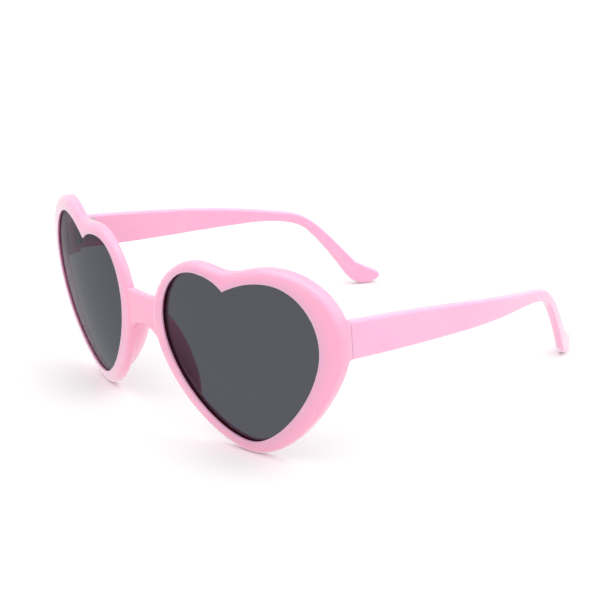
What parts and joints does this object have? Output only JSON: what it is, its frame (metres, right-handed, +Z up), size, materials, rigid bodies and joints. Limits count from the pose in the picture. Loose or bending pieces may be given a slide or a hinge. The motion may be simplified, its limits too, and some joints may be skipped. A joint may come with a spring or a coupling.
{
  "type": "heart shaped sunglasses",
  "caption": "Heart shaped sunglasses with a moulded pink front, smoke tinted lenses held in grooves, and curved temples that fold in on metal barrel hinges.",
  "frame": {"origin": "middle of the base of the opened glasses, on the surface that the rims and the temple tips stand on", "axes": "+Z up, +X towards the wearer's left, +Y towards the wearer's back along the temples; the lenses face -Y"},
  "size_m": [0.1424, 0.1604, 0.0629],
  "materials": {
    "pink_plastic": "gloss, moulded in one colour",
    "lens_plastic": "polished, smoke grey tint",
    "hinge_metal": "bright stamped metal"
  },
  "bodies": {
    "front": {"front_frame": "pink_plastic", "left_lens": "lens_plastic", "right_lens": "lens_plastic", "left_front_hinge_leaf": "hinge_metal", "right_front_hinge_leaf": "hinge_metal", "left_hinge_screw": "hinge_metal", "right_hinge_screw": "hinge_metal"},
    "left_temple": {"left_temple": "pink_plastic", "left_temple_hinge_leaf": "hinge_metal"},
    "right_temple": {"right_temple": "pink_plastic", "right_temple_hinge_leaf": "hinge_metal"}
  },
  "joints": [
    {"name": "left_temple_fold", "type": "hinge", "parent": "front", "child": "left_temple", "pos_m": [0.0656, -0.05705, 0.04376], "axis": [0, -0.1318, 0.9913], "range_deg": [0, 86]},
    {"name": "right_temple_fold", "type": "hinge", "parent": "front", "child": "right_temple", "pos_m": [-0.0656, -0.05705, 0.04376], "axis": [0, 0.1318, -0.9913], "range_deg": [0, 79]}
  ]
}
